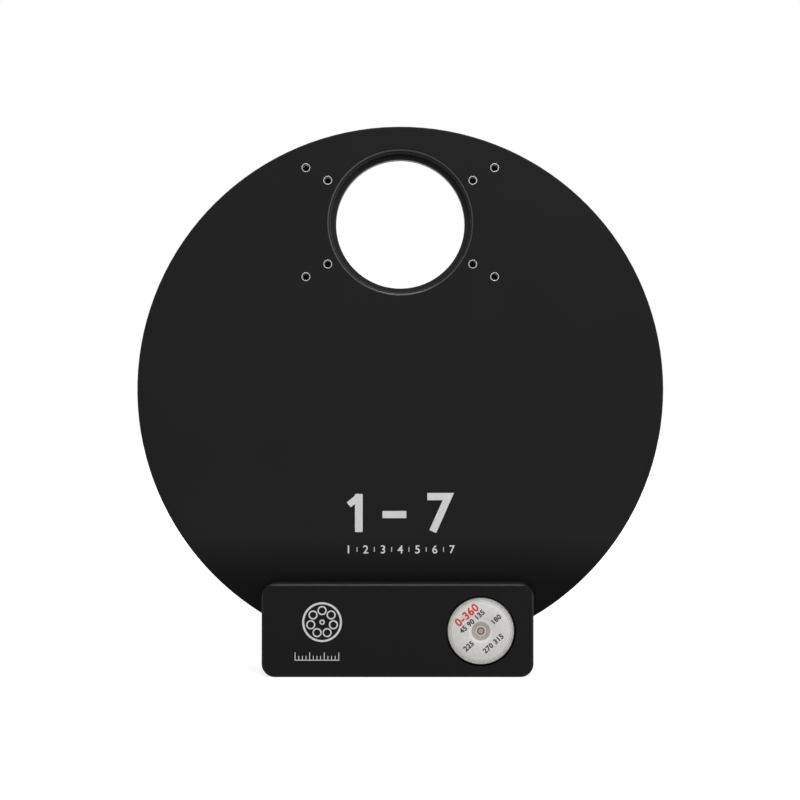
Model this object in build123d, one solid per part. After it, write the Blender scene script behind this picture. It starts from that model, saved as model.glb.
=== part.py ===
from build123d import *
from math import acos, cos, degrees, pi, radians, sin, sqrt, tan
import os

# Motorised optical filter wheel. Millimetres, X to the right seen from the front, Y from the
# front mounting face towards the back, Z up. The origin is the optical axis at the front face.

# ---- Driving dimensions ------------------------------------------------------------------
# Filters and carousel
filter_diameter = 50.4        # unmounted filter glass
filter_count = 7
filter_fit = 0.1              # play around a filter, on the radius
filter_seat_depth = 2.4       # how deep a filter lies, from the rear face of the carousel
clear_diameter = 49.0         # light hole of a cell
cell_web = 4.07               # metal between two neighbouring seats
rim_land = 0.75               # metal between a seat and the tooth roots
carousel_thickness = 6.0

# Gear pair
gear_module = 1.0
pinion_teeth = 9
pressure_angle = radians(20)
carousel_addendum = 0.5       # stub teeth, so that they clear the roots of the small pinion
pinion_addendum = 0.8
root_clearance = 0.15
backlash = 0.1                # taken off the thickness of each tooth

# Case
front_wall = 3.0
cover_thickness = 3.0
rim_wall = 7.0
rim_gap = 1.5                 # between the tooth tips and the case rim
carousel_front_gap = 4.0
carousel_rear_gap = 4.0
edge_chamfer = 0.4
case_fit = 0.3                # locating gap between the rear cover's boss and the case rim

# Light apertures: M54 x 0.75 internal thread on both sides
thread_radius = 26.6
thread_mouth_radius = 27.7
thread_depth = 5.0
thread_boss_radius = 30.0
thread_pad_radius = 44.5

# M3 tapped holes on two circles round the front aperture, 30 degrees off the horizontal
hole_circle_inner = 31.5
hole_circle_outer = 41.0
hole_angle = 30.0
tapped_radius = 1.25
tapped_depth = 4.3

# Motor and electronics box, standing on its flat lower face
box_width = 101.0
box_above_motor = 4.95        # box wall and air above the motor can
box_below_motor = 4.65
box_beside_motor = 7.1        # from the motor can to the right end of the box
box_rise = 8.5
box_corner = 5.0
box_wall = 2.0
box_chamfer = 0.7
corner_block = 4.0            # side of the block in each corner of the box cover
pocket_corner = 2.0
ear_wall = 3.0

# Stepper motor, a flat 25 mm can
motor_x = 29.9
motor_radius = 12.5
motor_recess = 0.2
motor_edge = 0.3
motor_flange_thickness = 0.8
motor_flange_rim = 0.5        # how far the flange stands out past the can
motor_ear_reach = 3.5         # from the can to the centre of an ear
motor_ear_radius = 3.0
motor_turn = 42.0             # turn of the two flange ears
motor_window_gap = 0.55
motor_wall_gap = 0.25
dimple_radius = 3.2
dimple_depth = 0.25
bush_radius = 2.0
bush_length = 1.6
bush_sink = 0.05              # how far the bush stands out of the bottom of the dimple
shaft_radius = 1.0
shaft_sink = 0.15             # end of the shaft below the rear face of the can
shaft_overhang = 0.5          # end of the shaft past the pinion
terminal_width, terminal_height = 4.2, 9.0
pinion_overlap = 0.5          # how far the pinion stands past each face of the carousel teeth

# Carousel axle
axle_boss_radius = 11.0
axle_boss_height = 2.0
axle_radius = 3.0
axle_skin = 1.5
axle_head_radius = 5.0
axle_head_height = 2.2
washer_radius = 6.5
washer_thickness = 0.9
bush_outer_radius = 5.0
bush_overhang = 0.4           # how far the bush stands out of the carousel at the back
thrust_gap = 0.1

# Fits
seat_fit = 0.02               # parts that are pressed or screwed together
running_fit = 0.04            # a shaft turning in a bush
part_gap = 0.3                # between parts that only lie near each other

# Index magnets and position sensor
index_inset = 10.0            # from the pitch circle of the carousel in to the magnets
index_magnet_side = 3.0
index_magnet_depth = 2.0
home_magnet_angle = 5.0

# Controller board
board_thickness = 1.6
board_standoff = 2.9
board_side_gap = 0.7          # to the wall of the box on the left, to the motor on the right
board_corner = 1.5
board_top_drop, board_foot = 8.5, 2.8
spacer_radius = 2.3           # hexagonal spacer, over its corners
spacer_inset = 3.5            # spacer centre from the edges of the board
plug_length = 5.0
usb_width, usb_height, usb_depth = 12.0, 10.9, 16.3
usb_sheet = 0.6
usb_back = 5.0                # solid part of the socket body, behind the tongue
usb_tongue_recess = 2.0
usb_corner_gap = 0.5          # from the corner block of the box cover to the socket
usb_recess = 0.5
usb_gap = 0.3
usb_tongue_width, usb_tongue_height = 5.6, 3.2
sensor_left, sensor_right = -5.0, 9.0
sensor_height = 8.0
sensor_thickness = 1.0
hall_width, hall_height, hall_thickness = 2.9, 1.6, 1.1
sensor_ribbon_width = 3.6
sensor_ribbon_thickness = 0.6
sensor_ribbon_bend = 1.5
sensor_ribbon_drop = 2.4      # middle of the ribbon below the middle of the sensor board
ribbon_slot_near, ribbon_slot_far = 0.6, 5.0    # ends of its slot, from the sensor board
sensor_plug_width = 4.5
motor_ribbon_width = 7.5
motor_ribbon_thickness = 0.9

# Parts on the controller board: middle from the top edge or the foot of the board, width,
# height and thickness
microcontroller_size = (10.0, 10.0, 1.0)
microcontroller_x, microcontroller_drop = -22.0, 9.0
driver_size = (10.3, 6.0, 1.6)
driver_x, driver_lift = 3.0, 0.5
crystal_size = (5.0, 3.2, 1.2)
crystal_x, crystal_drop = -31.5, 5.0
tantalum_size = (3.5, 2.8, 1.5)
tantalum_x, tantalum_lift = -14.0, 5.0
capacitor_size = (1.25, 2.0, 0.8)
capacitor_x, capacitor_pitch, capacitor_count, capacitor_drop = -13.0, 2.6, 4, 4.5

# ---- Derived sizes -----------------------------------------------------------------------
seat_radius = filter_diameter / 2 + filter_fit
clear_radius = clear_diameter / 2
cell_circle = (2 * seat_radius + cell_web) / (2 * sin(pi / filter_count))
pinion_dedendum = carousel_addendum + 0.3
carousel_dedendum = pinion_addendum + root_clearance
carousel_root = cell_circle + seat_radius + rim_land
carousel_teeth = round(2 * (carousel_root + carousel_dedendum) / gear_module)
carousel_pitch_radius = carousel_teeth * gear_module / 2
pinion_pitch_radius = pinion_teeth * gear_module / 2
centre_distance = carousel_pitch_radius + pinion_pitch_radius
cavity_radius = carousel_pitch_radius + carousel_addendum + rim_gap
case_radius = cavity_radius + rim_wall

wheel_z = -cell_circle
motor_z = wheel_z - sqrt(centre_distance**2 - motor_x**2)
mesh_angle = -acos(motor_x / centre_distance)

carousel_front = front_wall + carousel_front_gap
carousel_rear = carousel_front + carousel_thickness
cover_front = carousel_rear + carousel_rear_gap
case_depth = cover_front + cover_thickness

box_base = motor_z - motor_radius - box_below_motor
box_top = motor_z + motor_radius + box_above_motor
box_height = box_top - box_base
box_centre_z = (box_base + box_top) / 2
box_right = motor_x + motor_radius + box_beside_motor
box_left = box_right - box_width
box_centre_x = (box_left + box_right) / 2
box_inner = -box_rise + box_wall

flange_seat = front_wall
can_rear = -box_rise + motor_recess
boss_face = front_wall + axle_boss_height
motor_ear_centre = motor_radius + motor_ear_reach
terminal_left = motor_x - motor_radius - terminal_width
board_left = box_left + box_wall + board_side_gap
board_right = terminal_left - board_side_gap
board_rear = -board_standoff
board_front = board_rear - board_thickness
board_top = box_top - board_top_drop
board_bottom = box_base + board_foot
spacer_places = [(board_left + spacer_inset, board_top - spacer_inset),
                 (-8.0, board_bottom + spacer_inset), (0.0, board_top - 3.0)]
index_radius = carousel_pitch_radius - index_inset
sensor_z = wheel_z - index_radius
sensor_seat = front_wall + sensor_thickness
ribbon_level = board_rear / 2
connector_right = board_right - 3.3
usb_mouth = box_base + usb_recess
usb_left = box_left + box_wall + corner_block + usb_corner_gap
usb_right = usb_left + usb_width
usb_centre_x = (usb_left + usb_right) / 2
ribbon_z = sensor_z - sensor_ribbon_drop


# ---- Shapes that repeat ------------------------------------------------------------------
def along_y(sketch, y0, y1):
    """A sketch drawn with X across and Z up, extruded from y0 to y1."""
    return extrude(Plane.XZ.offset(-y1) * sketch, y1 - y0)


def round_bar(x, z, radius, y0, y1):
    """A cylinder along Y."""
    return along_y(Pos(x, z) * Circle(radius), y0, y1)


def block(x0, x1, y0, y1, z0, z1):
    """A box between two corners."""
    return Pos((x0 + x1) / 2, (y0 + y1) / 2, (z0 + z1) / 2) * Box(x1 - x0, y1 - y0, z1 - z0)


def turned(points, x=0.0, z=0.0):
    """A turned piece: (radius, y) points spun round a line along Y through x, z."""
    profile = make_face(Polyline(*points, close=True))
    return Pos(x, 0, z) * revolve(profile, Axis.Y)


def gear_face(teeth, addendum, dedendum, steps, phase):
    """The outline of an involute gear with one tooth centred on the angle phase."""
    pitch = teeth * gear_module / 2
    base = pitch * cos(pressure_angle)
    tip, root = pitch + addendum, pitch - dedendum
    half_at_pitch = (pi * gear_module / 2 - backlash) / 2 / pitch

    def involute(angle):
        return tan(angle) - angle

    def half_angle(radius):
        """Half the angle that the tooth covers at a radius; radial below the base circle."""
        return half_at_pitch + involute(pressure_angle) - involute(acos(base / max(radius, base)))

    start = max(base, root)
    radii = ([root] if root < base else []) + [start + (tip - start) * i / steps
                                                for i in range(steps + 1)]
    points = []
    for tooth in range(teeth):
        centre = phase + 2 * pi * tooth / teeth
        points += [(r * cos(centre - half_angle(r)), r * sin(centre - half_angle(r)))
                   for r in radii]
        points += [(r * cos(centre + half_angle(r)), r * sin(centre + half_angle(r)))
                   for r in reversed(radii)]
    return make_face(Polyline(*points, close=True))


def box_outline(inset=0.0):
    """The rounded rectangle of the motor and electronics box."""
    return Pos(box_centre_x, box_centre_z) * RectangleRounded(
        box_width - 2 * inset, box_height - 2 * inset, box_corner - inset)


def case_outline():
    """The round case with the ear that carries the box."""
    return Pos(0, wheel_z) * Circle(case_radius) + box_outline()


def tapped_places(circle):
    """The four hole centres on one of the two circles round the aperture."""
    dx, dz = circle * cos(radians(hole_angle)), circle * sin(radians(hole_angle))
    return [(sx * dx, sz * dz) for sx in (-1, 1) for sz in (-1, 1)]


def aperture(y_mouth, y_end):
    """What is cut away for a light aperture: the thread's bore and its chamfered mouth."""
    step = 1 if y_end > y_mouth else -1
    chamfer_depth = thread_mouth_radius - thread_radius
    return turned([(0, y_mouth - step), (thread_mouth_radius + 1, y_mouth - step),
                   (thread_radius, y_mouth + step * chamfer_depth), (thread_radius, y_end),
                   (0, y_end)])


# ---- Case --------------------------------------------------------------------------------
def front_housing():
    body = along_y(case_outline(), 0, cover_front)
    body = chamfer(body.faces().sort_by(Axis.Y)[0].outer_wire().edges(), edge_chamfer)
    body -= round_bar(0, wheel_z, cavity_radius, front_wall, cover_front)
    # pocket for the motor flange and the pinion, open to the carousel chamber
    reach = motor_ear_centre + motor_ear_radius + 1.0
    x0, x1 = motor_x - reach, box_right - ear_wall
    z0, z1 = box_base + ear_wall, box_top - ear_wall
    pocket = Pos((x0 + x1) / 2, (z0 + z1) / 2) * RectangleRounded(x1 - x0, z1 - z0, pocket_corner)
    body -= along_y(pocket, front_wall, cover_front)
    # thicker metal round the aperture, and the boss of the axle
    pad = Circle(thread_pad_radius) & (Pos(0, wheel_z) * Circle(case_radius - rim_wall / 2))
    body += along_y(pad, front_wall - 1.0, thread_depth)
    body += round_bar(0, wheel_z, axle_boss_radius, front_wall - 1.0, boss_face)
    body -= aperture(0, thread_depth + 1)
    for x, z in tapped_places(hole_circle_inner) + tapped_places(hole_circle_outer):
        body -= round_bar(x, z, tapped_radius, -1, tapped_depth)
    body -= round_bar(0, wheel_z, axle_radius + seat_fit, axle_skin, boss_face + 1)
    body -= round_bar(motor_x, motor_z, motor_radius + motor_wall_gap, -1, flange_seat + 1)
    # slot for the ribbon of the position sensor
    body -= block(sensor_left - ribbon_slot_far, sensor_left - ribbon_slot_near,
                  -1, front_wall + 1, ribbon_z - sensor_ribbon_width / 2 - part_gap,
                  ribbon_z + sensor_ribbon_width / 2 + part_gap)
    # pocket for the USB socket, open at the foot
    body -= block(usb_left - usb_gap, usb_right + usb_gap, -1, board_rear + usb_height + usb_gap,
                  box_base - 1, usb_mouth + usb_depth + usb_gap)
    return body


def rear_cover():
    body = along_y(case_outline(), cover_front, case_depth)
    body = chamfer(body.faces().sort_by(Axis.Y)[-1].outer_wire().edges(), edge_chamfer)
    boss = Circle(thread_boss_radius) & (Pos(0, wheel_z) * Circle(cavity_radius - case_fit))
    body += along_y(boss, case_depth - thread_depth, cover_front + 1)
    return body - aperture(case_depth, case_depth - thread_depth - 1)


def motor_box_cover():
    """A shell with a block in each corner and a round window for the motor."""
    body = along_y(box_outline(), -box_rise, 0)
    body = chamfer(body.faces().sort_by(Axis.Y)[0].outer_wire().edges(), box_chamfer)
    hollow = along_y(box_outline(box_wall), box_inner, 1)
    for sx in (-1, 1):
        for sz in (-1, 1):
            x = box_centre_x + sx * (box_width / 2 - box_wall)
            z = box_centre_z + sz * (box_height / 2 - box_wall)
            hollow -= block(x - corner_block, x + corner_block, box_inner - 1, 1,
                            z - corner_block, z + corner_block)
    body -= hollow
    body -= round_bar(motor_x, motor_z, motor_radius + motor_window_gap, -box_rise - 1, 1)
    body -= block(usb_left - usb_gap, usb_right + usb_gap, board_rear - usb_gap, 1,
                  box_base - 1, box_base + box_wall + 0.5)
    return body


# ---- Carousel and its axle ---------------------------------------------------------------
bush_front = boss_face + washer_thickness + thrust_gap
bush_rear = carousel_rear + bush_overhang
axle_shoulder = bush_rear + thrust_gap


def axle_shoulder_screw():
    return turned([(0, axle_skin + part_gap), (axle_radius, axle_skin + part_gap),
                   (axle_radius, axle_shoulder), (axle_head_radius, axle_shoulder),
                   (axle_head_radius, axle_shoulder + axle_head_height),
                   (0, axle_shoulder + axle_head_height)], 0, wheel_z)


def thrust_washer():
    r0, y1 = axle_radius + seat_fit, boss_face + washer_thickness
    return turned([(r0, boss_face), (washer_radius, boss_face), (washer_radius, y1), (r0, y1)],
                  0, wheel_z)


def hub_bush():
    """A bronze bush, pressed into the carousel."""
    bore = axle_radius + running_fit
    return turned([(bore, bush_front), (bush_outer_radius, bush_front),
                   (bush_outer_radius, bush_rear), (bore, bush_rear)], 0, wheel_z)


def cell_angle(i):
    """Angle of a cell from straight up, clockwise seen from the front."""
    return 2 * pi * i / filter_count


def index_angle(i):
    """Angle of an index magnet, on the web that follows a cell; one points straight down."""
    return cell_angle(i + 0.5)


def filter_carousel():
    gear = gear_face(carousel_teeth, carousel_addendum, carousel_dedendum, 1, mesh_angle)
    body = along_y(Pos(0, wheel_z) * gear, carousel_front, carousel_rear)
    seat = carousel_rear - filter_seat_depth
    for i in range(filter_count):
        x = cell_circle * sin(cell_angle(i))
        z = wheel_z + cell_circle * cos(cell_angle(i))
        body -= turned([(0, carousel_front - 1), (clear_radius, carousel_front - 1),
                        (clear_radius, seat), (seat_radius, seat),
                        (seat_radius, carousel_rear + 1), (0, carousel_rear + 1)], x, z)
    body -= round_bar(0, wheel_z, bush_outer_radius + seat_fit, carousel_front - 1,
                      carousel_rear + 1)
    for magnet in index_magnets(seat_fit):
        body -= magnet
    return body


def index_magnets(growth=0.0):
    """Bar magnets, one on every web, and a second beside the lowest one that marks cell 1."""
    angles = [index_angle(i) for i in range(filter_count)]
    angles.append(pi + radians(home_magnet_angle))
    half = index_magnet_side / 2 + growth
    y0, y1 = carousel_front - growth, carousel_front + index_magnet_depth + growth
    bar = block(-half, half, y0, y1, index_radius - half, index_radius + half)
    return [Pos(0, 0, wheel_z) * Rot(Y=degrees(a)) * bar for a in angles]


# ---- Motor -------------------------------------------------------------------------------
pinion_front = carousel_front - pinion_overlap
pinion_rear = carousel_rear + pinion_overlap


def motor_can():
    """The closed can, with a shallow dimple round the rear bush and a bore for the shaft."""
    bore = bush_radius + seat_fit
    return turned([(dimple_radius, can_rear), (motor_radius - motor_edge, can_rear),
                   (motor_radius, can_rear + motor_edge), (motor_radius, flange_seat),
                   (bore, flange_seat), (bore, can_rear + dimple_depth)], motor_x, motor_z)


def motor_rear_bush():
    bore, y0 = shaft_radius + running_fit, can_rear + dimple_depth - bush_sink
    return turned([(bore, y0), (bush_radius, y0), (bush_radius, y0 + bush_length),
                   (bore, y0 + bush_length)], motor_x, motor_z)


def motor_flange():
    """Flat plate with two ears; its hole is the front bearing of the shaft."""
    ears = SlotOverall(2 * (motor_ear_centre + motor_ear_radius), 2 * motor_ear_radius)
    plate = Circle(motor_radius + motor_flange_rim) + Rot(Z=motor_turn) * ears
    plate -= Circle(shaft_radius + running_fit)
    return along_y(Pos(motor_x, motor_z) * plate, flange_seat,
                   flange_seat + motor_flange_thickness)


def motor_shaft():
    return round_bar(motor_x, motor_z, shaft_radius, can_rear + shaft_sink,
                     pinion_rear + shaft_overhang)


def drive_pinion():
    phase = mesh_angle + pi + pi / pinion_teeth
    gear = gear_face(pinion_teeth, pinion_addendum, pinion_dedendum, 3, phase)
    gear -= Circle(shaft_radius + seat_fit)
    return along_y(Pos(motor_x, motor_z) * gear, pinion_front, pinion_rear)


def motor_terminal_block():
    """The block on the side of the can, cut to its round wall."""
    body = block(terminal_left, motor_x - motor_radius + 2.0, board_front + part_gap, -part_gap,
                 motor_z - terminal_height / 2, motor_z + terminal_height / 2)
    return body - round_bar(motor_x, motor_z, motor_radius, -box_rise, 1)


def motor_ribbon():
    half, thick = motor_ribbon_width / 2, motor_ribbon_thickness / 2
    return block(connector_right, terminal_left, ribbon_level - thick, ribbon_level + thick,
                 motor_z - half, motor_z + half)


# ---- Controller --------------------------------------------------------------------------
def controller_board():
    outline = Pos((board_left + board_right) / 2, (board_bottom + board_top) / 2) * Rectangle(
        board_right - board_left, board_top - board_bottom)
    outline = chamfer(outline.vertices(), board_corner)
    notch = corner_block + part_gap
    corner_x, corner_z = box_left + box_wall, box_base + box_wall
    body = along_y(outline, board_front, board_rear)
    return body - block(corner_x - 1, corner_x + notch, board_front - 1, board_rear + 1,
                        corner_z - 1, corner_z + notch)


def board_spacers():
    """Hexagonal spacers between the front wall and the board."""
    return [along_y(Pos(x, z) * RegularPolygon(spacer_radius, 6), board_rear, 0)
            for x, z in spacer_places]


def usb_socket_shell():
    """Sheet shell of a square USB socket, its mouth facing down."""
    body = block(usb_left, usb_right, board_rear, board_rear + usb_height, usb_mouth,
                 usb_mouth + usb_depth)
    return body - block(usb_left + usb_sheet, usb_right - usb_sheet, board_rear + usb_sheet,
                        board_rear + usb_height - usb_sheet, usb_mouth - 1,
                        usb_mouth + usb_depth - usb_sheet)


def usb_socket_tongue():
    """The plastic body at the back of the socket, with the contact tongue."""
    centre_y = board_rear + usb_height / 2
    back = usb_mouth + usb_depth - usb_sheet
    body = block(usb_left + usb_sheet, usb_right - usb_sheet, board_rear + usb_sheet,
                 board_rear + usb_height - usb_sheet, back - usb_back, back)
    half_width, half_height = usb_tongue_width / 2, usb_tongue_height / 2
    return body + block(usb_centre_x - half_width, usb_centre_x + half_width,
                        centre_y - half_height, centre_y + half_height,
                        usb_mouth + usb_tongue_recess, back - usb_back / 2)


def chip(x, z, size):
    """A part soldered on the front of the controller board."""
    width, height, thickness = size
    return block(x - width / 2, x + width / 2, board_front - thickness, board_front,
                 z - height / 2, z + height / 2)


def chip_capacitors():
    return [chip(capacitor_x + capacitor_pitch * i, board_top - capacitor_drop, capacitor_size)
            for i in range(capacitor_count)]


def rear_connector(x0, x1, z, height):
    """A low plug and header on the back of the controller board."""
    return block(x0, x1, board_rear, -part_gap, z - height / 2, z + height / 2)


# ---- Position sensor ---------------------------------------------------------------------
sensor_plug_right = sensor_left - 7.0


def sensor_board():
    return block(sensor_left, sensor_right, front_wall, sensor_seat,
                 sensor_z - sensor_height / 2, sensor_z + sensor_height / 2)


def hall_sensor():
    return block(-hall_width / 2, hall_width / 2, sensor_seat, sensor_seat + hall_thickness,
                 sensor_z - hall_height / 2, sensor_z + hall_height / 2)


def sensor_ribbon():
    """A flat three-way lead, from the controller board through the slot in the front wall."""
    level, turn_x = front_wall + sensor_thickness / 2, sensor_left - 3.2
    route = FilletPolyline((sensor_plug_right, ribbon_level), (turn_x, ribbon_level),
                           (turn_x, level), (sensor_left, level), radius=sensor_ribbon_bend)
    side = trace(route, sensor_ribbon_thickness)
    flat = extrude(side, sensor_ribbon_width)
    body = Pos(0, 0, ribbon_z - sensor_ribbon_width / 2) * flat
    return body & block(sensor_plug_right, sensor_left, -box_rise, case_depth,
                        ribbon_z - sensor_ribbon_width, ribbon_z + sensor_ribbon_width)


# ---- Nodes -------------------------------------------------------------------------------
nodes = {
    "front_housing": front_housing(),
    "rear_cover": rear_cover(),
    "motor_box_cover": motor_box_cover(),
    "axle_shoulder_screw": axle_shoulder_screw(),
    "thrust_washer": thrust_washer(),
    "hub_bush": hub_bush(),
    "filter_carousel": filter_carousel(),
    "index_magnets": index_magnets(),
    "motor_can": motor_can(),
    "motor_flange": motor_flange(),
    "motor_rear_bush": motor_rear_bush(),
    "motor_terminal_block": motor_terminal_block(),
    "motor_ribbon": motor_ribbon(),
    "motor_shaft": motor_shaft(),
    "drive_pinion": drive_pinion(),
    "controller_board": controller_board(),
    "board_spacers": board_spacers(),
    "usb_socket_shell": usb_socket_shell(),
    "usb_socket_tongue": usb_socket_tongue(),
    "microcontroller": chip(microcontroller_x, board_top - microcontroller_drop,
                            microcontroller_size),
    "motor_driver_chip": chip(driver_x, motor_z + driver_lift, driver_size),
    "crystal": chip(crystal_x, board_top - crystal_drop, crystal_size),
    "tantalum_capacitor": chip(tantalum_x, board_bottom + tantalum_lift, tantalum_size),
    "chip_capacitors": chip_capacitors(),
    "motor_connector": rear_connector(connector_right - plug_length, connector_right,
                                      motor_z, 8.5),
    "sensor_connector": rear_connector(sensor_plug_right - sensor_plug_width, sensor_plug_right,
                                       ribbon_z, 4.6),
    "sensor_board": sensor_board(),
    "hall_sensor": hall_sensor(),
    "sensor_ribbon": sensor_ribbon(),
}

os.makedirs("parts", exist_ok=True)
for name, shape in nodes.items():
    if isinstance(shape, list):
        shape = Compound(children=shape)
    export_step(shape, f"parts/{name}.step")
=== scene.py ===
from math import cos, pi, radians, sin

import bpy
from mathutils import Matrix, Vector


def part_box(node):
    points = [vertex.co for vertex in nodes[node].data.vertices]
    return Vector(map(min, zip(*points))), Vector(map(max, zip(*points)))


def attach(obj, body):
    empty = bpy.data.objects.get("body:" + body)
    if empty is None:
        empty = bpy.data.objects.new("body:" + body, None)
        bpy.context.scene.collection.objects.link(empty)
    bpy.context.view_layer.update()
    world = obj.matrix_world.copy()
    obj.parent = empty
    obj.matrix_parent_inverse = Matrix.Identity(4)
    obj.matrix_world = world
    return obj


# Motorised filter wheel for optics. Metres, Y runs from the front face to the back, Z is up, and
# the optical axis is the line x = z = 0. Sizes below are in millimetres, times MM.
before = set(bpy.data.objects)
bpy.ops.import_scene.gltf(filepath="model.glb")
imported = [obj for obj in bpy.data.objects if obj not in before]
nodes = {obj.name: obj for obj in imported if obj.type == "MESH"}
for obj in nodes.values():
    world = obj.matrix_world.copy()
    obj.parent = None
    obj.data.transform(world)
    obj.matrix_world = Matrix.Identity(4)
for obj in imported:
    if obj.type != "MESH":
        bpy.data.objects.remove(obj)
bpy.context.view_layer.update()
MM = 0.001


# ---- Case ------------------------------------------------------------------------------------
# Front housing, rear cover and motor box are milled from aluminium plate, blasted with fine glass
# beads and anodised black: an even, deep black with a soft sheen and no machining marks left.
def linear(code):
    """An sRGB hex colour as linear red, green, blue and alpha."""
    parts = [int(code[i:i + 2], 16) / 255 for i in (1, 3, 5)]
    return [c / 12.92 if c <= 0.04045 else ((c + 0.055) / 1.055) ** 2.4 for c in parts] + [1.0]


def add(finish, kind, sockets=None, links=None, **settings):
    """Adds one node to a material: its settings, the values of its inputs, and its links."""
    node = finish.node_tree.nodes.new(kind)
    for key, value in settings.items():
        setattr(node, key, value)
    for key, value in (sockets or {}).items():
        node.inputs[key].default_value = value
    for key, source in (links or {}).items():
        finish.node_tree.links.new(source, node.inputs[key])
    return node


def new_finish(name, **values):
    """A material with its shader wired up, and its place in millimetres as a node."""
    finish = bpy.data.materials.new(name)
    finish.use_nodes = True
    finish.node_tree.nodes.clear()
    shader = add(finish, "ShaderNodeBsdfPrincipled", values)
    add(finish, "ShaderNodeOutputMaterial", links={"Surface": shader.outputs["BSDF"]})
    place = add(finish, "ShaderNodeTexCoord")
    scaled = add(finish, "ShaderNodeMapping", {"Scale": (1000, 1000, 1000)},
                 {"Vector": place.outputs["Object"]})
    return finish, shader, scaled.outputs["Vector"]


def speckle(finish, place, size, detail=3.0, stretch=None):
    """Noise whose blotches are about size millimetres across."""
    if stretch:
        place = add(finish, "ShaderNodeMapping", {"Scale": stretch},
                    {"Vector": place}).outputs["Vector"]
    noise = add(finish, "ShaderNodeTexNoise", {"Scale": 1 / size, "Detail": detail},
                {"Vector": place})
    return noise.outputs["Fac"]


def two_tone(finish, shader, source, dark, light, low=0.35, high=0.65, socket="Base Color"):
    """Colours a surface between two hex colours as source goes from low to high."""
    ramp = add(finish, "ShaderNodeValToRGB", links={"Fac": source})
    ramp.color_ramp.elements[0].position = low
    ramp.color_ramp.elements[1].position = high
    ramp.color_ramp.elements[0].color = linear(dark)
    ramp.color_ramp.elements[1].color = linear(light)
    finish.node_tree.links.new(ramp.outputs["Color"], shader.inputs[socket])
    return ramp


def relief(finish, shader, source, height, strength=1.0):
    """Raises the surface by up to height millimetres where source is high."""
    bump = add(finish, "ShaderNodeBump", {"Distance": height * MM, "Strength": strength},
               {"Height": source})
    finish.node_tree.links.new(bump.outputs["Normal"], shader.inputs["Normal"])


def vary_roughness(finish, shader, source, low, high):
    """Spreads the roughness between low and high."""
    spread = add(finish, "ShaderNodeMapRange", {"To Min": low, "To Max": high},
                 {"Value": source})
    finish.node_tree.links.new(spread.outputs["Result"], shader.inputs["Roughness"])


def within(finish, value, middle, half):
    """1 where value is within half of middle and 0 elsewhere, with a soft edge."""
    off = add(finish, "ShaderNodeMath", {1: middle}, {0: value}, operation="SUBTRACT")
    off = add(finish, "ShaderNodeMath", links={0: off.outputs[0]}, operation="ABSOLUTE")
    return add(finish, "ShaderNodeMapRange", {"From Min": half + 0.05, "From Max": half - 0.05},
               {"Value": off.outputs[0]}).outputs["Result"]


def distance(finish, place, x, z):
    """Millimetres from a line along Y through x and z."""
    apart = add(finish, "ShaderNodeVectorMath", {1: (x, 0, z)}, {0: place},
                operation="SUBTRACT")
    flat = add(finish, "ShaderNodeVectorMath", {1: (1, 0, 1)}, {0: apart.outputs[0]},
               operation="MULTIPLY")
    return add(finish, "ShaderNodeVectorMath", links={0: flat.outputs[0]},
               operation="LENGTH").outputs["Value"]


def tint(finish, source, where, code):
    """Mixes a hex colour over another colour where a mask is 1."""
    return add(finish, "ShaderNodeMix", {7: linear(code)}, {0: where, 6: source},
               data_type="RGBA").outputs[2]


# Bead marks are about 0.1 mm and are drawn at 0.45 mm, so that they just show as a fine grain.
blasted, shader, place = new_finish("bead_blasted_black_anodised_aluminium")
shader.inputs["Specular IOR Level"].default_value = 0.05
grain = speckle(blasted, place, 0.45, 4.0)
black = two_tone(blasted, shader, speckle(blasted, place, 38.0, 2.0), "#1c1c1c", "#1e1e1f")
vary_roughness(blasted, shader, grain, 0.28, 0.36)
relief(blasted, shader, grain, 0.006, 0.5)

# The chamfered mouth of each aperture is painted brighter and slightly metallic: a painted
# highlight.
mouth_radius, cover_joint, box_face = 27.2, 17.0, -8.5
axes = add(blasted, "ShaderNodeSeparateXYZ", links={"Vector": place})
turned = within(blasted, distance(blasted, place, 0, 0), mouth_radius, 0.26)
coat = tint(blasted, black.outputs["Color"], turned, "#525252")
mouth_highlight_metallic = add(blasted, "ShaderNodeMath", {1: 0.4}, {0: turned}, operation="MULTIPLY")
blasted.node_tree.links.new(mouth_highlight_metallic.outputs[0], shader.inputs["Metallic"])

# The rear cover meets the housing in a hairline joint that goes right round the rim.
joint = within(blasted, axes.outputs["Y"], cover_joint, 0.11)
coat = tint(blasted, coat, joint, "#020202")

# The box is painted a shade deeper than the case, and the face darkens over the 16 mm above the
# box: both are painted shade, because the lamps alone leave them too light there.
painted_box_shade = within(blasted, axes.outputs["Y"], box_face / 2 - 0.05, 4.25)
coat = tint(blasted, coat, painted_box_shade, "#191919")
# painted shade on the front face, deepening towards the corner above the box
towards_box = add(blasted, "ShaderNodeMapRange", {"From Min": -119.0, "From Max": -136.0},
                  {"Value": axes.outputs["Z"]})
front = within(blasted, axes.outputs["Y"], 0.1, 0.15)
corner = add(blasted, "ShaderNodeMath", links={0: towards_box.outputs["Result"], 1: front},
             operation="MULTIPLY")
coat = tint(blasted, coat, corner.outputs[0], "#080809")

# The motor box's front chamfer is painted a little greyer than the face: a painted highlight. It
# is the last millimetre before the face, outside a plain rectangle in the middle of the face.
front_edge = within(blasted, axes.outputs["Y"], box_face + 0.35, 0.32)
face_width = within(blasted, axes.outputs["X"], -1.0, 49.9)
face_height = within(blasted, axes.outputs["Z"], -152.5, 16.7)
face = add(blasted, "ShaderNodeMath", links={0: face_width, 1: face_height},
           operation="MULTIPLY")
edge_highlight_mask = add(blasted, "ShaderNodeMath", links={0: front_edge, 1: face.outputs[0]},
                   operation="SUBTRACT", use_clamp=True)
coat = tint(blasted, coat, edge_highlight_mask.outputs[0], "#303030")
blasted.node_tree.links.new(coat, shader.inputs["Base Color"])


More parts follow.
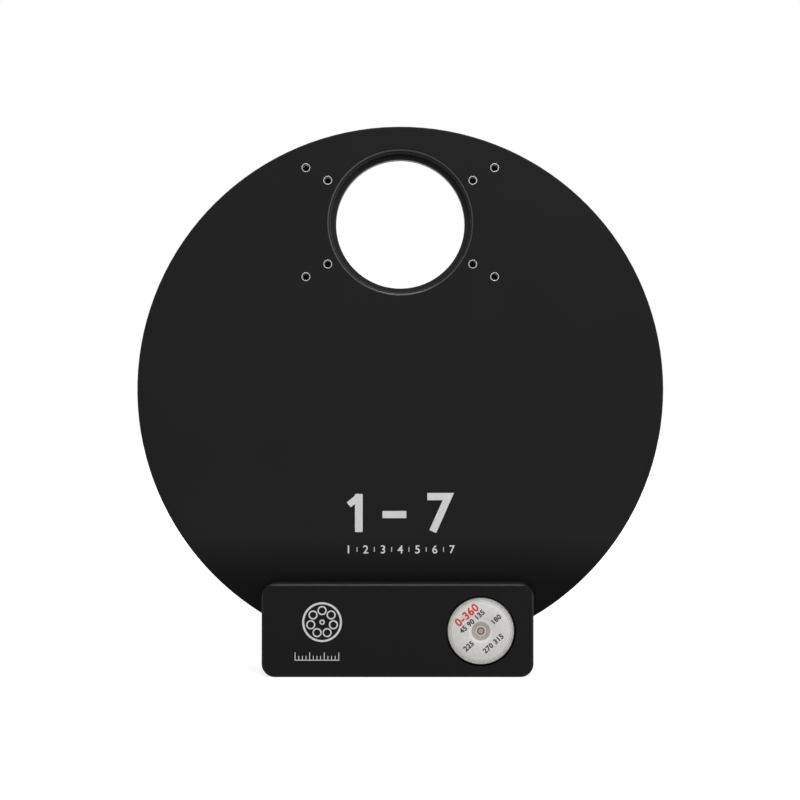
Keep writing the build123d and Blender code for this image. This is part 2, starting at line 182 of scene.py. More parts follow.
def dress(node, finish):
    """Gives a CAD node its material."""
    data = nodes[node].data
    data.materials.clear()
    data.materials.append(finish)
    for face in data.polygons:
        face.material_index = 0


for name in ("front_housing", "rear_cover", "motor_box_cover"):
    dress(name, blasted)


# ---- Light apertures -------------------------------------------------------------------------
# M54 x 0.75 internal threads for the telescope at the front and the camera at the back. They are
# a shade lighter than the case, as painted light in the shaded bore; only their crests shine,
# dully.
def start_piece():
    """Leaves nothing selected, so that an operator acts on the new piece alone."""
    if bpy.context.object and bpy.context.object.mode != "OBJECT":
        bpy.ops.object.mode_set(mode="OBJECT")
    bpy.ops.object.select_all(action="DESELECT")


def close_up(piece):
    """Merges doubles, turns every face outwards and puts the origin back at zero."""
    bpy.ops.mesh.select_all(action="SELECT")
    bpy.ops.mesh.remove_doubles(threshold=0.002 * MM)
    bpy.ops.mesh.normals_make_consistent(inside=False)
    bpy.ops.object.mode_set(mode="OBJECT")
    bpy.ops.object.transform_apply(location=True, rotation=True, scale=True)
    return piece


def hand_over(piece, name, body, finish, sharp=30):
    """Names a finished piece, gives it its material and lets it ride on a body."""
    start_piece()
    piece.name = piece.data.name = name
    piece.select_set(True)
    bpy.context.view_layer.objects.active = piece
    bpy.ops.object.shade_smooth_by_angle(angle=radians(sharp))
    piece.data.materials.clear()
    piece.data.materials.append(finish)
    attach(piece, body)
    return piece


def helix(crest_x, x, y, z, pitch, turns, steps, ridge):
    """A triangular ridge wound inside a bore along Y, its crest at the radius crest_x."""
    start_piece()
    bpy.ops.mesh.primitive_circle_add(vertices=3, radius=ridge * MM, fill_type="NOTHING",
                                      location=(x * MM, y * MM, z * MM),
                                      rotation=(0, 0, pi / 2))
    piece = bpy.context.object
    bpy.ops.object.transform_apply(location=False, rotation=True, scale=False)
    bpy.ops.object.mode_set(mode="EDIT")
    bpy.ops.transform.translate(value=((crest_x + ridge) * MM, 0, 0))
    bpy.ops.object.mode_set(mode="OBJECT")
    wound = piece.modifiers.new("wound", "SCREW")
    wound.axis = "Y"
    wound.screw_offset = pitch * MM
    wound.iterations = turns
    wound.steps = wound.render_steps = steps
    bpy.ops.object.modifier_apply(modifier=wound.name)
    bpy.ops.object.mode_set(mode="EDIT")
    bpy.ops.mesh.select_all(action="SELECT")
    bpy.ops.mesh.fill_holes(sides=3)
    return close_up(piece)


threaded, shader, place = new_finish("machined_black_anodised_thread")
turning = speckle(threaded, place, 0.6, 2.0, stretch=(1, 6, 1))
# a shade lighter than the black case: painted light in the shaded bore
two_tone(threaded, shader, turning, "#212123", "#29292b")
vary_roughness(threaded, shader, turning, 0.40, 0.50)
shader.inputs["Specular IOR Level"].default_value = 0.15

bore_radius, ridge_height, ridge_side, thread_pitch, thread_turns = 26.6, 0.3, 0.346, 0.75, 4
for name, y in (("front_thread_helix", 1.75), ("rear_thread_helix", 15.25)):
    ridge = helix(bore_radius - ridge_height, 0, y, 0, thread_pitch, thread_turns, 96,
                  ridge_side)
    hand_over(ridge, name, "housing", threaded)


# ---- Thread inserts --------------------------------------------------------------------------
# Eight M3 wire inserts of bare stainless steel, wound into the tapped holes round the front
# aperture. Their bright collars are the only bare metal on the face.
def lathe(profile, x, z, steps=48, ring=True):
    """Turns a profile of (radius, y) points round a line along Y through x and z. A ring's
    profile closes on itself, and any other gets a flat face at each end."""
    start_piece()
    radius, depth = profile[0]
    bpy.ops.mesh.primitive_circle_add(vertices=steps, radius=radius * MM,
                                      fill_type="NOTHING" if ring else "NGON",
                                      location=(x * MM, depth * MM, z * MM),
                                      rotation=(pi / 2, 0, 0))
    piece = bpy.context.object
    bpy.ops.object.transform_apply(location=True, rotation=True, scale=True)
    bpy.ops.object.mode_set(mode="EDIT")
    for next_radius, next_depth in profile[1:] + profile[:1] * ring:
        bpy.ops.mesh.extrude_edges_move()
        bpy.ops.transform.resize(value=[next_radius / radius] * 3,
                                 center_override=(x * MM, depth * MM, z * MM))
        bpy.ops.transform.translate(value=(0, (next_depth - depth) * MM, 0))
        radius, depth = next_radius, next_depth
    if not ring:
        bpy.ops.mesh.edge_face_add()
    return close_up(piece)


def join(first, *others):
    """Makes one piece of several."""
    start_piece()
    for part in (first, *others):
        part.select_set(True)
    bpy.context.view_layer.objects.active = first
    bpy.ops.object.join()
    return first


def copy_at(piece, dx=0.0, dy=0.0, dz=0.0):
    """A copy of a piece with its own mesh, moved by millimetres."""
    start_piece()
    piece.select_set(True)
    bpy.context.view_layer.objects.active = piece
    bpy.ops.object.duplicate(linked=False)
    twin = bpy.context.object
    twin.parent = None
    bpy.ops.transform.translate(value=(dx * MM, dy * MM, dz * MM))
    bpy.ops.object.transform_apply(location=True, rotation=True, scale=True)
    return twin


bright, shader, place = new_finish("bare_stainless_steel", Metallic=1.0)
scratches = speckle(bright, place, 0.25, 3.0, stretch=(1, 8, 1))
two_tone(bright, shader, scratches, "#adaca8", "#bdbcb8")
vary_roughness(bright, shader, scratches, 0.36, 0.44)

inner_circle, outer_circle, hole_turn = 31.5, 41.0, radians(30)
hole_radius = 1.25
hole_places = [(sx * r * cos(hole_turn), sz * r * sin(hole_turn))
               for r in (inner_circle, outer_circle) for sx in (-1, 1) for sz in (-1, 1)]
collar = lathe([(1.38, 0.3), (1.38, -0.02), (1.42, -0.05), (1.57, -0.05), (1.61, -0.02),
                (1.61, 0.3)], 0, 0, 40)
coil = helix(hole_radius - 0.06, 0, 1.8, 0, 0.5, 4, 24, 0.14)
insert = join(collar, coil)
for number, (x, z) in enumerate(hole_places, 1):
    hand_over(copy_at(insert, x, 0, z), f"thread_insert_{number}", "housing", bright)
bpy.data.objects.remove(insert)


# ---- Marks on the face -----------------------------------------------------------------------
# Screen-printed legend in light grey ink: the range of filter positions in large numerals, and
# under it a scale with a numeral for each position.
def printed(text, height, x, y, z, weight=0.0, turn=0.0, ink_height=0.02, spacing=1.0):
    """Numerals lying on a face that looks to the front, height millimetres tall."""
    start_piece()
    bpy.ops.object.text_add(location=(0, 0, 0))
    line = bpy.context.object
    line.data.body = text
    line.data.size = height * MM / 0.7
    line.data.offset = weight * MM
    line.data.space_character = spacing
    line.data.extrude = ink_height * MM / 2
    line.data.resolution_u = 6
    bpy.ops.object.convert(target="MESH")
    piece = bpy.context.object
    corners = [v.co for v in piece.data.vertices]
    low = [min(c[i] for c in corners) for i in (0, 1)]
    high = [max(c[i] for c in corners) for i in (0, 1)]
    bpy.ops.object.mode_set(mode="EDIT")
    bpy.ops.mesh.select_all(action="SELECT")
    bpy.ops.transform.translate(value=(-(low[0] + high[0]) / 2, -(low[1] + high[1]) / 2, 0))
    bpy.ops.object.mode_set(mode="OBJECT")
    piece.rotation_euler = (pi / 2, -turn, 0)
    piece.location = (x * MM, (y - ink_height / 2) * MM, z * MM)
    bpy.ops.object.mode_set(mode="EDIT")
    return close_up(piece)


def stroke(x, y, z, width, height, turn=0.0, ink_height=0.02):
    """A printed bar with softened corners, on a face that looks to the front."""
    start_piece()
    bpy.ops.mesh.primitive_cube_add(size=1, location=(x * MM, (y - ink_height / 2) * MM, z * MM),
                                    rotation=(0, -turn, 0),
                                    scale=(width * MM, ink_height * MM, height * MM))
    piece = bpy.context.object
    bpy.ops.object.transform_apply(location=False, rotation=False, scale=True)
    bpy.ops.object.mode_set(mode="EDIT")
    bpy.ops.mesh.select_all(action="DESELECT")
    bpy.ops.mesh.select_mode(type="EDGE")
    bpy.ops.object.mode_set(mode="OBJECT")
    for edge in piece.data.edges:
        a, b = (piece.data.vertices[i].co for i in edge.vertices)
        edge.select = abs(a.y - b.y) > 1e-7
    bpy.ops.object.mode_set(mode="EDIT")
    bpy.ops.mesh.bevel(offset=min(width, height) * 0.08 * MM, segments=2)
    return close_up(piece)


ink, shader, place = new_finish("light_grey_screen_ink", Roughness=0.6)
two_tone(ink, shader, speckle(ink, place, 0.8), "#cacaca", "#d3d3d3")

numeral_z = -109.4
upright = stroke(-15.6, 0, numeral_z, 2.9, 14.3)
flag = stroke(-17.3, 0, numeral_z + 4.75, 2.4, 5.4, radians(-50), 0.019)
bpy.context.view_layer.objects.active = upright
union = upright.modifiers.new("flag", "BOOLEAN")
union.operation = "UNION"
union.solver = "EXACT"
union.object = flag
bpy.ops.object.modifier_apply(modifier=union.name)
bpy.data.objects.remove(flag)
range_marks = [upright, stroke(-2.2, 0, numeral_z - 0.6, 9.0, 2.7),
               printed("7", 14.3, 15.2, 0, numeral_z, weight=0.42)]
hand_over(join(*range_marks), "position_range_mark", "housing", ink)

positions, position_pitch, scale_z = 7, 6.5, -123.1
scale_marks = []
for number in range(1, positions + 1):
    x = (number - (positions + 1) / 2) * position_pitch
    scale_marks.append(printed(str(number), 3.0, x, 0, scale_z, weight=0.05))
    if number < positions:
        scale_marks.append(stroke(x + position_pitch / 2, 0, scale_z, 0.25, 1.8))
hand_over(join(*scale_marks), "position_scale_marks", "housing", ink)


# ---- Marks on the motor box ------------------------------------------------------------------
# Screen-printed in the same ink as the face: a plan of the carousel, which is a ring round seven
# open cells and a hub, and under it a short tick scale.
def printed_ring(radius, width, x, y, z, steps=64, ink_height=0.02):
    """A printed circle line on a face that looks to the front."""
    inner, outer = radius - width / 2, radius + width / 2
    return lathe([(inner, y), (inner, y - ink_height), (outer, y - ink_height), (outer, y)],
                 x, z, steps)


plan_x, plan_z, plan_radius, cell_radius = -29.0, -149.3, 7.0, 4.3
plan = [printed_ring(plan_radius, 0.75, plan_x, box_face, plan_z, 96),
        printed_ring(0.75, 0.5, plan_x, box_face, plan_z, 32)]
for number in range(positions):
    turn = 2 * pi * number / positions
    plan.append(printed_ring(1.45, 0.5, plan_x + cell_radius * sin(turn), box_face,
                             plan_z + cell_radius * cos(turn), 40))
hand_over(join(*plan), "carousel_plan_mark", "housing", ink)

tick_count, tick_pitch, tick_left, tick_foot, line_width = 13, 1.35, -39.0, -163.3, 0.28
ticks = []
for number in range(tick_count):
    tall = 2.8 if number % 4 == 0 else 1.5
    ticks.append(stroke(tick_left + tick_pitch * number, box_face, tick_foot + tall / 2,
                        line_width, tall))
ticks.append(stroke(tick_left + tick_pitch * 6, box_face, tick_foot - 0.1, 16.5, line_width))
hand_over(join(*ticks), "tick_scale_mark", "housing", ink)


# ---- Motor -----------------------------------------------------------------------------------
# Flat stepper motor in a deep-drawn can of zinc-plated steel, flush in its window, with a paper
# label that carries a plain dial of degrees, and a sintered bronze bush in its dimple.
motor_x, motor_z, can_face = 29.9, -152.646, -8.3

zinc, shader, place = new_finish("zinc_plated_drawn_steel", Metallic=1.0)
drawn = speckle(zinc, place, 0.7, 3.0, stretch=(1, 5, 1))
plate = two_tone(zinc, shader, drawn, "#8f8e8a", "#aaa9a4")
vary_roughness(zinc, shader, drawn, 0.30, 0.45)
# the can is darker in the dimple round the bush
dimple = within(zinc, distance(zinc, place, motor_x, motor_z), 0.0, 3.5)
zinc.node_tree.links.new(tint(zinc, plate.outputs["Color"], dimple, "#938e89"),
                         shader.inputs["Base Color"])
for name in ("motor_can", "motor_flange"):
    dress(name, zinc)

sintered, shader, place = new_finish("sintered_bronze", Metallic=0.9)
pores = speckle(sintered, place, 0.18, 4.0)
bronze = two_tone(sintered, shader, pores, "#84766d", "#a5988f", 0.40, 0.60)
# the lip of the motor's bush is brighter; the gap round the shaft is painted shade, nearly black
from_shaft = distance(sintered, place, motor_x, motor_z)
lip = tint(sintered, bronze.outputs["Color"], within(sintered, from_shaft, 1.7, 0.3), "#aea49c")
gap_shade = tint(sintered, lip, within(sintered, from_shaft, 0.98, 0.34), "#161311")
sintered.node_tree.links.new(gap_shade, shader.inputs["Base Color"])
shader.inputs["Roughness"].default_value = 0.48
relief(sintered, shader, pores, 0.01)
dress("motor_rear_bush", sintered)
dress("hub_bush", sintered)

paper, shader, place = new_finish("coated_paper_label", Roughness=0.55)
fibres = speckle(paper, place, 1.2, 5.0)
sheet = two_tone(paper, shader, fibres, "#cdcac7", "#d7d4d1")
# a paler ring round the hole as a painted highlight, and a thin grey line just inside the rim
from_bush = distance(paper, place, motor_x, motor_z)
hole_edge_highlight = tint(paper, sheet.outputs["Color"], within(paper, from_bush, 4.1, 0.3), "#e0dddb")
lined = tint(paper, hole_edge_highlight, within(paper, from_bush, 11.0, 0.1), "#a3a09e")
paper.node_tree.links.new(lined, shader.inputs["Base Color"])
relief(paper, shader, fibres, 0.004, 0.5)
label_face = can_face - 0.1
label_bore, label_radius = 3.4, 11.4
label = lathe([(label_bore, can_face), (label_bore, label_face + 0.02),
               (label_bore + 0.05, label_face), (label_radius - 0.05, label_face),
               (label_radius, label_face + 0.02), (label_radius, can_face)],
              motor_x, motor_z, 96)
hand_over(label, "motor_label", "housing", paper)

label_turn = radians(42)
dark_ink, shader, place = new_finish("dark_grey_label_ink", Roughness=0.6)
two_tone(dark_ink, shader, speckle(dark_ink, place, 0.5), "#1c1b1b", "#282727")
red_ink, shader, place = new_finish("red_label_ink", Roughness=0.6)
two_tone(red_ink, shader, speckle(red_ink, place, 0.5), "#c22a2c", "#d03a3a")


def on_label(text, across, up, height, weight=0.0):
    """Numerals on the label, placed along and across its turned lines."""
    x = motor_x + across * cos(label_turn) - up * sin(label_turn)
    z = motor_z + across * sin(label_turn) + up * cos(label_turn)
    return printed(text, height, x, label_face, z, weight, label_turn, 0.015, 1.08)


hand_over(on_label("0-360", 0.1, 8.0, 2.9, 0.14), "label_range_mark", "housing", red_ink)
numerals = [on_label("45 90 135", -0.1, 4.8, 1.85, 0.11), on_label("180", 7.3, -0.5, 1.85, 0.11),
            on_label("225", -7.1, -1.1, 1.85, 0.11), on_label("270 315", 0.3, -6.5, 1.85, 0.11)]
hand_over(join(*numerals), "label_dial_marks", "housing", dark_ink)


# ---- Rear cover screws -----------------------------------------------------------------------
# Low button heads of blackened steel with hexagon sockets, seven round the rim and one at each
# lower corner, that hold the rear cover on the housing.
blackened, shader, place = new_finish("black_oxide_steel", Metallic=0.8)
scratches = speckle(blackened, place, 0.3, 3.0)
two_tone(blackened, shader, scratches, "#232222", "#353433")
vary_roughness(blackened, shader, scratches, 0.28, 0.42)


def button_screw(head_radius, head_height, socket_width, back=True):
    """A button head with a hexagon socket, standing on y = 0 at the origin."""
    way = 1 if back else -1
    top = head_height * way
    head = lathe([(head_radius, 0), (head_radius, top * 0.25), (head_radius * 0.93, top * 0.55),
                  (head_radius * 0.78, top * 0.85), (head_radius * 0.55, top)], 0, 0, 40, False)
    start_piece()
    bpy.ops.mesh.primitive_cylinder_add(vertices=6, radius=socket_width / 2 / cos(pi / 6) * MM,
                                        depth=1.6 * head_height * MM,
                                        location=(0, top * MM, 0), rotation=(pi / 2, 0, 0))
    socket = bpy.context.object
    bpy.context.view_layer.objects.active = head
    cut = head.modifiers.new("socket", "BOOLEAN")
    cut.operation = "DIFFERENCE"
    cut.solver = "EXACT"
    cut.object = socket
    bpy.ops.object.modifier_apply(modifier=cut.name)
    bpy.data.objects.remove(socket)
    return head


wheel_z, rim_circle, cover_face = -63.0007, 95.5, 20.0
screw = button_screw(2.4, 1.1, 1.6)
rim_turns = [radians(45 * i) for i in range(8) if i != 4]
for number, turn in enumerate(rim_turns, 1):
    x, z = rim_circle * sin(turn), wheel_z + rim_circle * cos(turn)
    hand_over(copy_at(screw, x, cover_face, z), f"rear_cover_screw_{number}", "housing",
              blackened)
bpy.data.objects.remove(screw)
corner_places, corner_z = (-48.95, 46.95), -167.25
small_screw = button_screw(1.5, 0.8, 0.95)
for number, x in enumerate(corner_places, 1):
    hand_over(copy_at(small_screw, x, cover_face, corner_z), f"rear_corner_screw_{number}",
              "housing", blackened)


# ---- Carousel --------------------------------------------------------------------------------
# Seven filter cells milled in one aluminium disc with the gear cut in its rim, blasted and
# anodised like the case. Screws on the webs hold the filters, and numerals count the cells.
satin, shader, place = new_finish("satin_black_anodised_aluminium")
marks = speckle(satin, place, 0.5, 3.0)
two_tone(satin, shader, marks, "#1c1c1d", "#222223")
vary_roughness(satin, shader, marks, 0.34, 0.44)
relief(satin, shader, marks, 0.005, 0.5)
shader.inputs["Specular IOR Level"].default_value = 0.15
dress("filter_carousel", satin)

carousel_front, carousel_rear = 7.0, 13.0
inner_screws, outer_screws, numeral_circle = 47.5, 74.5, 33.5
for number in range(2 * positions):
    turn = 2 * pi * (number // 2 + 0.5) / positions
    circle = outer_screws if number % 2 else inner_screws
    x, z = circle * sin(turn), wheel_z + circle * cos(turn)
    hand_over(copy_at(small_screw, x, carousel_rear, z), f"filter_screw_{number + 1}",
              "carousel", bright)
bpy.data.objects.remove(small_screw)

cell_marks = []
for number in range(positions):
    turn = 2 * pi * number / positions
    x, z = numeral_circle * sin(turn), wheel_z + numeral_circle * cos(turn)
    cell_marks.append(printed(str(number + 1), 3.2, x, carousel_front, z, 0.05, -turn))
hand_over(join(*cell_marks), "cell_number_marks", "carousel", ink)

nickel, shader, place = new_finish("nickel_plated_magnet", Metallic=1.0)
two_tone(nickel, shader, speckle(nickel, place, 0.6), "#a9a59b", "#beb9ae")
shader.inputs["Roughness"].default_value = 0.25
dress("index_magnets", nickel)


# ---- Axle ------------------------------------------------------------------------------------
# Ground stainless shoulder screw and a nylon thrust washer, with the bronze bush that turns on
# them. The screw head's hexagon socket is a dark plate with a bevelled edge: painted shade.
dress("axle_shoulder_screw", bright)
nylon, shader, place = new_finish("natural_nylon", Roughness=0.45)
shader.inputs["Subsurface Weight"].default_value = 0.1
shader.inputs["Subsurface Scale"].default_value = 0.001
two_tone(nylon, shader, speckle(nylon, place, 2.5), "#d8d3c4", "#e2ddcf")
dress("thrust_washer", nylon)

axle_head_face = 15.7
socket_shade_plate = lathe([(1.9, axle_head_face), (1.9, axle_head_face + 0.02),
                     (1.75, axle_head_face + 0.06)], 0, wheel_z, 6, False)
hand_over(socket_shade_plate, "axle_socket_shade", "housing", blackened)


# ---- Drive pinion ----------------------------------------------------------------------------
# Nine-tooth brass pinion, hobbed and pressed on the ground steel shaft of the motor. Two screws
# through the ears of the motor's flange set its distance from the toothed rim.
brass, shader, place = new_finish("machined_brass", Metallic=1.0)
hobbed = speckle(brass, place, 0.3, 3.0, stretch=(1, 5, 1))
two_tone(brass, shader, hobbed, "#b08a42", "#cba75c")
vary_roughness(brass, shader, hobbed, 0.22, 0.36)
dress("drive_pinion", brass)

ground, shader, place = new_finish("ground_tool_steel", Metallic=1.0)
circles = speckle(ground, place, 0.2, 2.0, stretch=(1, 4, 1))
two_tone(ground, shader, circles, "#857a74", "#a59a93")
vary_roughness(ground, shader, circles, 0.35, 0.5)
dress("motor_shaft", ground)

ear_reach, ear_face = 16.0, 3.8
ear_screw = button_screw(2.2, 1.1, 1.5)
for number, side in enumerate((-1, 1), 1):
    x = motor_x + side * ear_reach * cos(label_turn)
    z = motor_z + side * ear_reach * sin(label_turn)
    hand_over(copy_at(ear_screw, x, ear_face, z), f"motor_screw_{number}", "housing", bright)
bpy.data.objects.remove(ear_screw)


# ---- Controller board ------------------------------------------------------------------------
# Glass-epoxy board with black solder mask over copper tracks, on three hexagonal brass spacers,
# with its chips, crystal, capacitors and plugs soldered on.
board, shader, place = new_finish("black_solder_mask_on_glass_epoxy", Roughness=0.35)
# tracks 0.3 mm wide every 1.6 mm, running in patches along and across the board
patches = speckle(board, place, 14.0, 0.0)
runs = [add(board, "ShaderNodeTexWave", {"Scale": 0.98}, {"Vector": place},
            bands_direction=axis).outputs["Fac"] for axis in ("X", "Z")]
which = add(board, "ShaderNodeMath", {1: 0.5}, {0: patches}, operation="GREATER_THAN")
track = add(board, "ShaderNodeMix", links={0: which.outputs[0], 2: runs[0], 3: runs[1]})
two_tone(board, shader, track.outputs[0], "#0f1512", "#25352b", 0.90, 0.93)
relief(board, shader, track.outputs[0], 0.03, 0.4)
for name in ("controller_board", "sensor_board"):
    dress(name, board)

moulded, shader, place = new_finish("moulded_black_epoxy", Roughness=0.5)
flecks = speckle(moulded, place, 0.25, 4.0)
two_tone(moulded, shader, flecks, "#1b1b1c", "#262627")
relief(moulded, shader, flecks, 0.01)
for name in ("microcontroller", "motor_driver_chip", "hall_sensor", "motor_terminal_block",
             "usb_socket_tongue"):
    dress(name, moulded)
dress("board_spacers", brass)

can, shader, place = new_finish("drawn_nickel_silver_can", Metallic=1.0)
drawing = speckle(can, place, 0.4, 3.0, stretch=(4, 1, 1))
two_tone(can, shader, drawing, "#b5b1a6", "#cfcbc0")
vary_roughness(can, shader, drawing, 0.20, 0.34)
dress("crystal", can)

resin, shader, place = new_finish("moulded_ochre_epoxy", Roughness=0.45)
two_tone(resin, shader, speckle(resin, place, 0.4), "#b97a22", "#c98a31")
dress("tantalum_capacitor", resin)

# barium titanate bodies with a tinned band 0.35 mm wide at each end
ceramic, shader, place = new_finish("tinned_barium_titanate", Roughness=0.4)
body_brown = two_tone(ceramic, shader, speckle(ceramic, place, 0.3), "#7d6248", "#93765a")
low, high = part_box("chip_capacitors")
along = add(ceramic, "ShaderNodeSeparateXYZ", links={"Vector": place}).outputs["Z"]
along = add(ceramic, "ShaderNodeMath", {1: (low.z + high.z) / 2 / MM}, {0: along},
            operation="SUBTRACT")
along = add(ceramic, "ShaderNodeMath", links={0: along.outputs[0]}, operation="ABSOLUTE")
end = add(ceramic, "ShaderNodeMath", {1: (high.z - low.z) / 2 / MM - 0.35},
          {0: along.outputs[0]}, operation="GREATER_THAN").outputs[0]
ceramic.node_tree.links.new(tint(ceramic, body_brown.outputs["Color"], end, "#b9bab8"),
                            shader.inputs["Base Color"])
ceramic.node_tree.links.new(end, shader.inputs["Metallic"])
dress("chip_capacitors", ceramic)

housing_nylon, shader, place = new_finish("white_moulded_nylon", Roughness=0.4)
two_tone(housing_nylon, shader, speckle(housing_nylon, place, 1.0), "#d9d6cc", "#e4e1d8")
for name in ("motor_connector", "sensor_connector"):
    dress(name, housing_nylon)

# grey conductors of 0.9 mm side by side, with one red edge towards the foot of the box
for name, pitch in (("motor_ribbon", 1.25), ("sensor_ribbon", 1.2)):
    ribbon, shader, place = new_finish(name + "_grey_pvc", Roughness=0.5)
    low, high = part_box(name)
    cores = add(ribbon, "ShaderNodeTexWave", {"Scale": pi / pitch / 10}, {"Vector": place},
                bands_direction="Z").outputs["Fac"]
    grey = two_tone(ribbon, shader, cores, "#6f6f70", "#98989a", 0.05, 0.35)
    height = add(ribbon, "ShaderNodeSeparateXYZ", links={"Vector": place}).outputs["Z"]
    edge = add(ribbon, "ShaderNodeMath", {1: low.z / MM + pitch}, {0: height},
               operation="LESS_THAN")
    ribbon.node_tree.links.new(tint(ribbon, grey.outputs["Color"], edge.outputs[0], "#a5302c"),
                               shader.inputs["Base Color"])
    relief(ribbon, shader, cores, 0.15, 0.6)
    dress(name, ribbon)

tinned, shader, place = new_finish("tinned_copper", Metallic=1.0)
two_tone(tinned, shader, speckle(tinned, place, 0.2), "#a9aaa8", "#c2c3c0")
shader.inputs["Roughness"].default_value = 0.3


def gull_wing_leads(node, sides, count, pitch, width, to_board):
    """Leads on the sides of a chip, each a strip that steps down to the board. Sides are turns
    in degrees about Y, and to_board is the way from the chip to its board along Y."""
    low, high = [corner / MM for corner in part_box(node)]
    middle = (low + high) / 2
    drop = (high.y - low.y) / 2 - 0.06
    made = []
    for side in sides:
        reach = (high.x - low.x) / 2 if side % 180 == 0 else (high.z - low.z) / 2
        start_piece()
        bpy.ops.mesh.primitive_plane_add(size=1, rotation=(0, pi / 2, 0),
                                         location=((reach - 0.1) * MM, 0, 0))
        lead = bpy.context.object
        lead.scale = (width * MM, 0.12 * MM, 1)
        bpy.ops.object.transform_apply(location=True, rotation=True, scale=True)
        bpy.ops.object.mode_set(mode="EDIT")
        bpy.ops.mesh.select_all(action="SELECT")
        for step in ((0.45, 0), (0.12, drop * to_board), (0.5, 0)):
            bpy.ops.mesh.extrude_region_move(
                TRANSFORM_OT_translate={"value": (step[0] * MM, step[1] * MM, 0)})
        close_up(lead)
        for number in range(count):
            twin = copy_at(lead, 0, 0, (number - (count - 1) / 2) * pitch)
            twin.rotation_euler = (0, radians(side), 0)
            twin.location = middle * MM
            bpy.ops.object.transform_apply(location=True, rotation=True, scale=True)
            made.append(twin)
        bpy.data.objects.remove(lead)
    hand_over(join(*made), node + "_leads", "housing", tinned)


gull_wing_leads("microcontroller", (0, 90, 180, 270), 8, 0.8, 0.35, 1)
gull_wing_leads("motor_driver_chip", (90, 270), 8, 1.27, 0.42, 1)
gull_wing_leads("hall_sensor", (90, 270), 2, 1.9, 0.4, -1)

spacer_places, board_front = ((-45.3, -147.2), (-8.0, -163.5), (0.0, -146.7)), -4.5
board_screw = button_screw(1.8, 0.9, 1.2, back=False)
for number, (x, z) in enumerate(spacer_places, 1):
    hand_over(copy_at(board_screw, x, board_front, z), f"board_screw_{number}", "housing", bright)
bpy.data.objects.remove(board_screw)


# ---- USB socket ------------------------------------------------------------------------------
# Nickel-plated sheet shell, open towards the foot of the box, with four gilded contacts on the
# tongue of its black moulded body.
dress("usb_socket_shell", can)
gilt, shader, place = new_finish("gold_plated_contact", Metallic=1.0)
two_tone(gilt, shader, speckle(gilt, place, 0.2), "#b9913a", "#d1ab55")
shader.inputs["Roughness"].default_value = 0.25

tongue_low, tongue_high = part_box("usb_socket_tongue")
tongue_x = (tongue_low.x + tongue_high.x) / 2 / MM
tongue_y = (tongue_low.y + tongue_high.y) / 2 / MM
contacts = []
for side in (-1, 1):
    for place_x in (-1.25, 1.25):
        start_piece()
        bpy.ops.mesh.primitive_cube_add(size=1)
        contact = bpy.context.object
        contact.scale = (1.0 * MM, 0.2 * MM, 5.5 * MM)
        contact.location = ((tongue_x + place_x) * MM, (tongue_y + side * 1.6) * MM,
                            tongue_low.z + 3.6 * MM)
        bpy.ops.object.transform_apply(location=True, rotation=True, scale=True)
        bpy.ops.object.mode_set(mode="EDIT")
        bpy.ops.mesh.select_all(action="SELECT")
        bpy.ops.mesh.bevel(offset=0.05 * MM, segments=2)
        contacts.append(close_up(contact))
hand_over(join(*contacts), "usb_contacts", "housing", gilt)


# ---- Floor, lamps and camera -----------------------------------------------------------------
# White sweep under the wheel, which stands on the flat lower face of its motor box.
floor_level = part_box("motor_box_cover")[0].z
start_piece()
bpy.ops.mesh.primitive_plane_add(size=8.0, location=(0, 0, floor_level))
floor = bpy.context.object
floor.name = "floor"
bpy.ops.object.transform_apply(location=True, rotation=True, scale=True)
matte, shader, place = new_finish("white_matte_floor", Roughness=0.9)
two_tone(matte, shader, speckle(matte, place, 60.0), "#989898", "#9c9c9c")
rays = add(matte, "ShaderNodeLightPath")
seen = add(matte, "ShaderNodeMath", links={0: rays.outputs["Is Camera Ray"],
                                           1: rays.outputs["Is Glossy Ray"]}, operation="ADD")
also = add(matte, "ShaderNodeMath", links={0: seen.outputs[0],
                                           1: rays.outputs["Is Transmission Ray"]},
           operation="ADD", use_clamp=True)
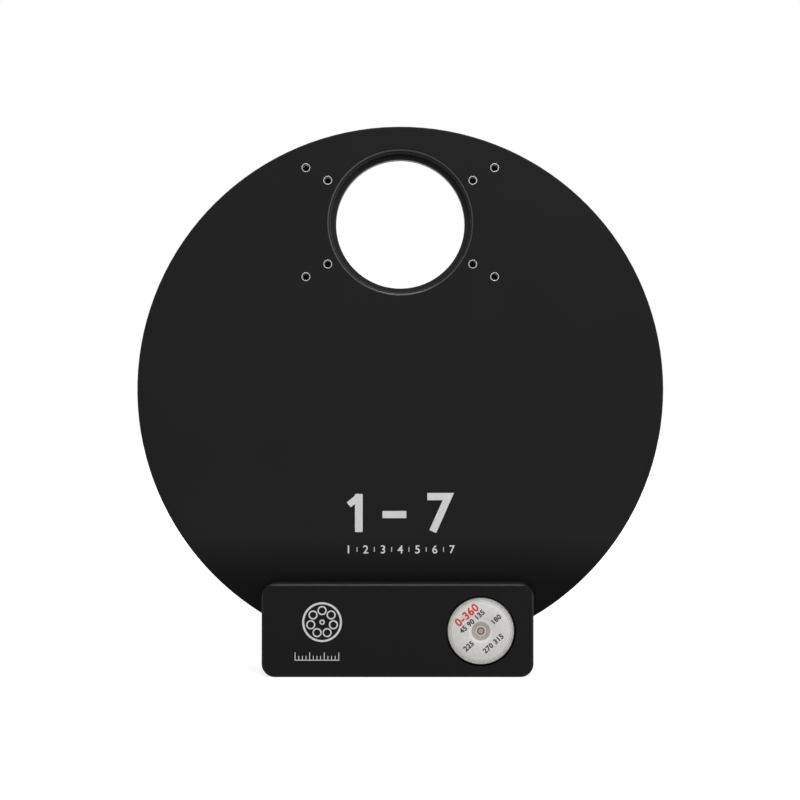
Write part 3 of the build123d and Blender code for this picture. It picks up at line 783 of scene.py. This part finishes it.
# towards the edge of the sweep its own white takes over from the lamps
away = add(matte, "ShaderNodeVectorMath", links={0: place}, operation="LENGTH")
fade = add(matte, "ShaderNodeMapRange", {"From Min": 250, "From Max": 800, "To Min": 0.74,
                                         "To Max": 1.0}, {"Value": away.outputs["Value"]})
level = add(matte, "ShaderNodeMath", links={0: also.outputs[0], 1: fade.outputs["Result"]},
            operation="MULTIPLY")
shader.inputs["Emission Color"].default_value = (1, 1, 1, 1)
matte.node_tree.links.new(level.outputs[0], shader.inputs["Emission Strength"])
floor.data.materials.append(matte)

world = bpy.data.worlds.new("studio")
bpy.context.scene.world = world
world.use_nodes = True
back = world.node_tree.nodes["Background"]
back.inputs["Color"].default_value = (1, 1, 1, 1)
rays = add(world, "ShaderNodeLightPath")
seen = add(world, "ShaderNodeMath", links={0: rays.outputs["Is Camera Ray"],
                                           1: rays.outputs["Is Glossy Ray"]}, operation="ADD")
also = add(world, "ShaderNodeMath", links={0: seen.outputs[0],
                                           1: rays.outputs["Is Transmission Ray"]},
           operation="ADD", use_clamp=True)
strength = add(world, "ShaderNodeMapRange", {"To Min": 0.3, "To Max": 1.0},
               {"Value": also.outputs[0]})
world.node_tree.links.new(strength.outputs["Result"], back.inputs["Strength"])


def softbox(name, place, aim, width, height, power):
    """A square studio lamp that points from place to aim."""
    bpy.ops.object.light_add(type="AREA", location=place)
    lamp = bpy.context.object
    lamp.name = name
    lamp.data.shape = "RECTANGLE"
    lamp.data.size = width
    lamp.data.size_y = height
    lamp.data.energy = power
    way = [b - a for a, b in zip(place, aim)]
    lamp.rotation_euler = Vector(way).to_track_quat("-Z", "Y").to_euler()
    return lamp


middle = (0, 0, -0.07)
softbox("front_softbox", (0.12, -0.5, 0.35), (0, 0, -0.03), 0.5, 0.3, 2)
softbox("overhead_softbox", (0, -0.05, 1.0), middle, 0.7, 0.25, 6)
softbox("left_softbox", (-1.1, -0.9, 0.4), middle, 0.5, 0.8, 1.5)
softbox("right_softbox", (1.1, -0.9, 0.4), middle, 0.5, 0.8, 8)
softbox("back_softbox", (0, 1.1, 0.7), middle, 1.2, 0.8, 9)

bpy.ops.object.camera_add(location=(-0.0001, -0.6, -0.0669), rotation=(pi / 2, 0, 0))
camera = bpy.context.object
camera.data.sensor_width = 36.0
camera.data.lens = 71.77
camera.data.clip_start = 0.01
bpy.context.scene.camera = camera

scene = bpy.context.scene
scene.view_settings.view_transform = "Standard"
